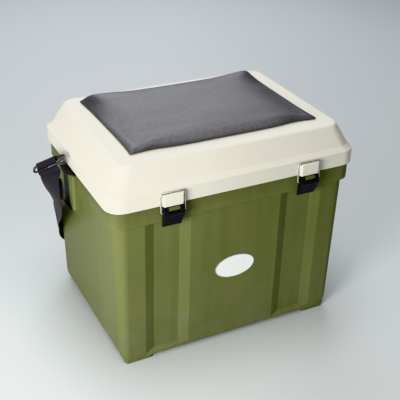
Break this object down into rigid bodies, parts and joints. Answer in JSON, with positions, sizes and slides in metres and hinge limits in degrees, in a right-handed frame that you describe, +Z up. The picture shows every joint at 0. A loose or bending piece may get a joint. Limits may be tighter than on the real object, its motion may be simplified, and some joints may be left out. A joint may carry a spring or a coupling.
{
  "type": "fishing seat box",
  "caption": "Moulded tackle box with a padded seat on its hinged lid, draw latches on the front and a webbing shoulder strap.",
  "frame": {"origin": "centre of the box's outline seen from above, on the surface that the feet stand on", "axes": "+X runs along the front from the slide's side to the other, -Y is the front with the latches, +Z is up"},
  "size_m": [0.5135, 0.3638, 0.381],
  "materials": {
    "green_plastic": "moulded polypropylene, olive green, satin",
    "cream_plastic": "moulded polypropylene, cream, satin",
    "black_plastic": "moulded nylon, black, slightly shiny",
    "steel": "plated steel wire, pins and screws",
    "vinyl": "coated fabric over foam, dark grey, fine grain",
    "webbing": "woven webbing, black",
    "board": "plywood, unpainted"
  },
  "bodies": {
    "box": {"tub": "green_plastic", "lever_pin_left": "steel", "lever_pin_right": "steel", "hinge_pin_left": "steel", "hinge_pin_right": "steel", "shoulder_strap": "webbing", "strap_loop_left": "webbing", "strap_loop_right": "webbing", "strap_slide": "steel"},
    "lid_assembly": {"lid": "cream_plastic", "catch_left": "cream_plastic", "catch_right": "cream_plastic", "catch_screw_left_a": "steel", "catch_screw_left_b": "steel", "catch_screw_right_a": "steel", "catch_screw_right_b": "steel", "seat_board": "board", "seat_pad": "vinyl", "seat_screw_1": "steel", "seat_screw_2": "steel", "seat_screw_3": "steel", "seat_screw_4": "steel"},
    "latch_left": {"lever_left": "black_plastic"},
    "latch_right": {"lever_right": "black_plastic"},
    "wire_left": {"bail_left": "steel"},
    "wire_right": {"bail_right": "steel"}
  },
  "joints": [
    {"name": "lid_hinge", "type": "hinge", "parent": "box", "child": "lid_assembly", "pos_m": [0, 0.1655, 0.296], "axis": [-1, 0, 0], "range_deg": [0, 105]},
    {"name": "lever_left_pivot", "type": "hinge", "parent": "box", "child": "latch_left", "pos_m": [-0.1205, -0.1655, 0.2932], "axis": [-1, 0, 0], "range_deg": [0, 90]},
    {"name": "lever_right_pivot", "type": "hinge", "parent": "box", "child": "latch_right", "pos_m": [0.1205, -0.1655, 0.2932], "axis": [-1, 0, 0], "range_deg": [0, 90]},
    {"name": "bail_left_pivot", "type": "hinge", "parent": "latch_left", "child": "wire_left", "pos_m": [-0.1205, -0.1645, 0.28728], "axis": [-1, 0, 0], "range_deg": [-81, 0]},
    {"name": "bail_right_pivot", "type": "hinge", "parent": "latch_right", "child": "wire_right", "pos_m": [0.1205, -0.1645, 0.28728], "axis": [-1, 0, 0], "range_deg": [-81, 0]}
  ],
  "couplings": [
    {"joint": "bail_left_pivot", "follows": "lever_left_pivot", "ratio": -0.9},
    {"joint": "bail_right_pivot", "follows": "lever_right_pivot", "ratio": -0.9}
  ]
}
